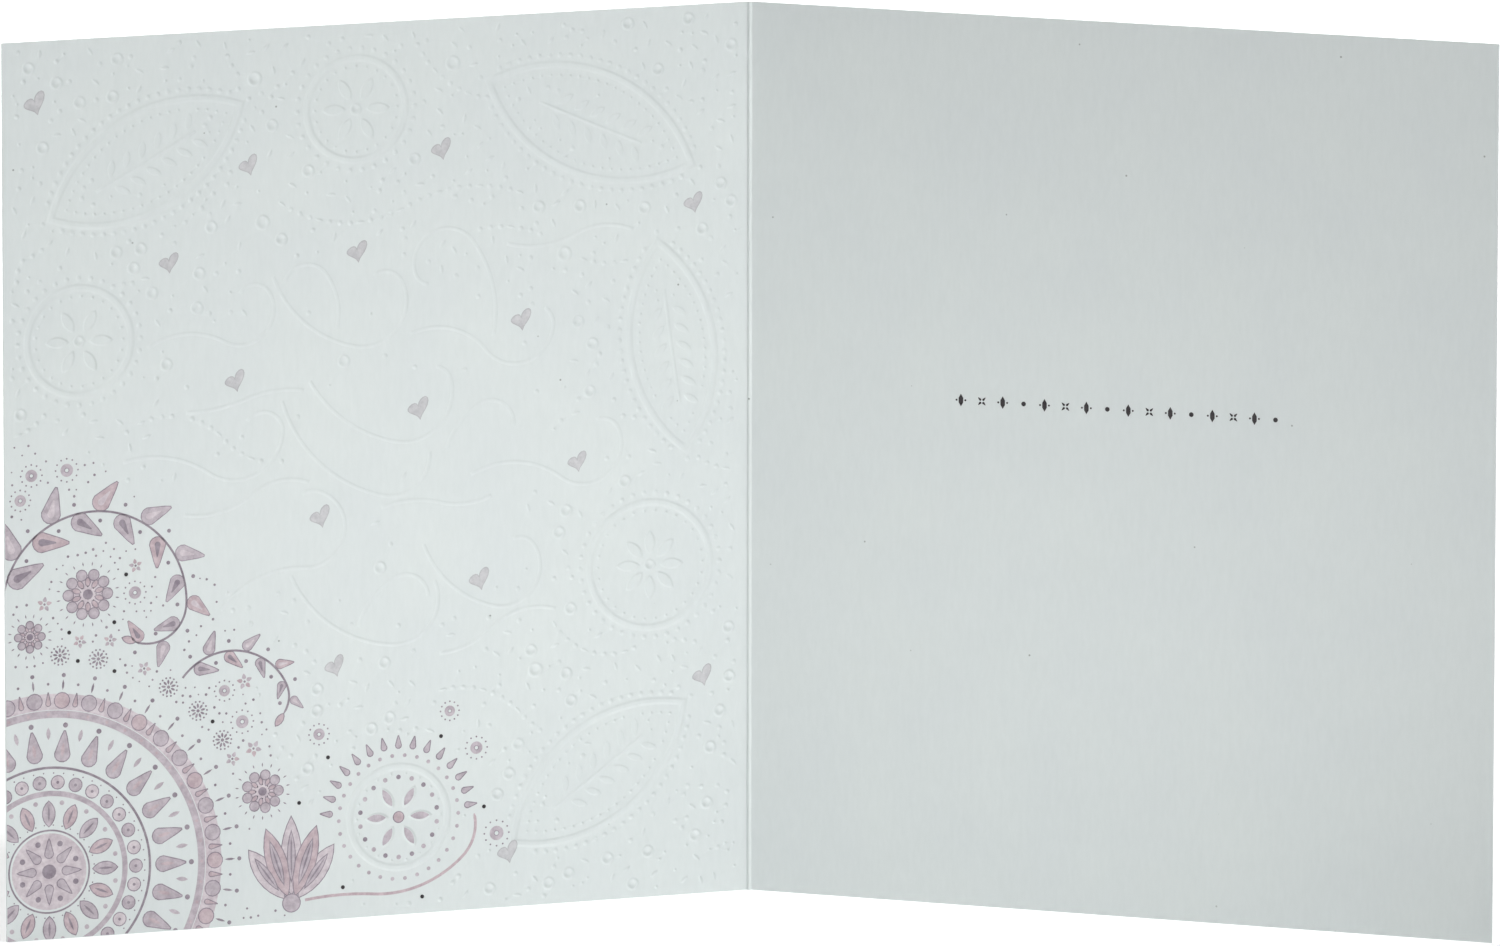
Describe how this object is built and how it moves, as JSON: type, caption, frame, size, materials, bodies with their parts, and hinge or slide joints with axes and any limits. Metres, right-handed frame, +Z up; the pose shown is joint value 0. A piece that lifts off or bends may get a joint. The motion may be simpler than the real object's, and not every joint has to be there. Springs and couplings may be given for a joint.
{
  "type": "greeting card",
  "caption": "Pale grey-green greeting card of one scored and folded sheet, standing open, with an embossed and printed front leaf.",
  "frame": {"origin": "middle of the space that the open card stands on, at the level of its bottom edges", "axes": "+Z up along the fold; the fold is at the back, towards +Y, and the leaves open towards -Y; +X to the right, seen from inside"},
  "size_m": [0.3002, 0.053, 0.184],
  "materials": {
    "board": "uncoated coloured board with a faint fibre mottle",
    "print_mauve": "flat mauve print on uncoated board",
    "print_dark": "flat near-black print on uncoated board"
  },
  "bodies": {
    "root": {"card": "board"}
  },
  "joints": []
}
